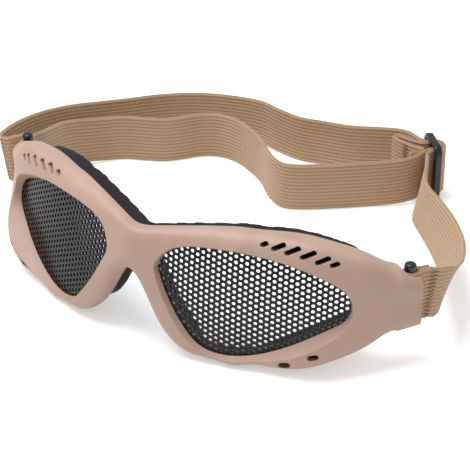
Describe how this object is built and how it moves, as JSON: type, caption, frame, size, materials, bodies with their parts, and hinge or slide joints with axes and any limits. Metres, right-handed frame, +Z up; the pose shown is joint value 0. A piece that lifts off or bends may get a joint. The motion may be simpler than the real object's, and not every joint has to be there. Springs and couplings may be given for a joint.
{
  "type": "mesh safety goggles",
  "caption": "Mesh-lens safety goggles: moulded frame, two domed perforated steel lenses, foam face pad and an elastic strap with pins and slider.",
  "frame": {"origin": "on the table, in the symmetry plane of the moulded frame, between the two temples' pins and the nose: 26 mm in front of the line through the strap pins", "axes": "+X to the viewer's right (the wearer's left), +Y from the front of the goggles to the back of the head, +Z up; X = 0 is the symmetry plane of the frame, lenses and foam"},
  "size_m": [0.2014, 0.1632, 0.0471],
  "materials": {
    "frame_plastic": "matt sandy tan moulded plastic",
    "mesh_steel": "black painted perforated steel",
    "foam": "black open-cell foam",
    "webbing": "sandy ribbed elastic webbing",
    "dark_plastic": "near-black glossy plastic"
  },
  "bodies": {
    "goggles": {"frame_shell": "frame_plastic", "mesh_lens_left": "mesh_steel", "mesh_lens_right": "mesh_steel", "face_foam": "foam", "elastic_strap": "webbing"},
    "slider": {"strap_slider": "dark_plastic"},
    "pin_left": {"strap_pin_left": "dark_plastic"},
    "pin_right": {"strap_pin_right": "dark_plastic"}
  },
  "joints": [
    {"name": "slider_along_strap", "type": "slide", "parent": "goggles", "child": "slider", "axis": [0.7096, -0.7046, 0], "range_m": [-0.012, 0.012], "deforming": ["elastic_strap"]},
    {"name": "pin_left_lift", "type": "slide", "parent": "goggles", "child": "pin_left", "axis": [0, 0, 1], "range_m": [0, 0.025]},
    {"name": "pin_right_lift", "type": "slide", "parent": "goggles", "child": "pin_right", "axis": [0, 0, 1], "range_m": [0, 0.025]}
  ]
}
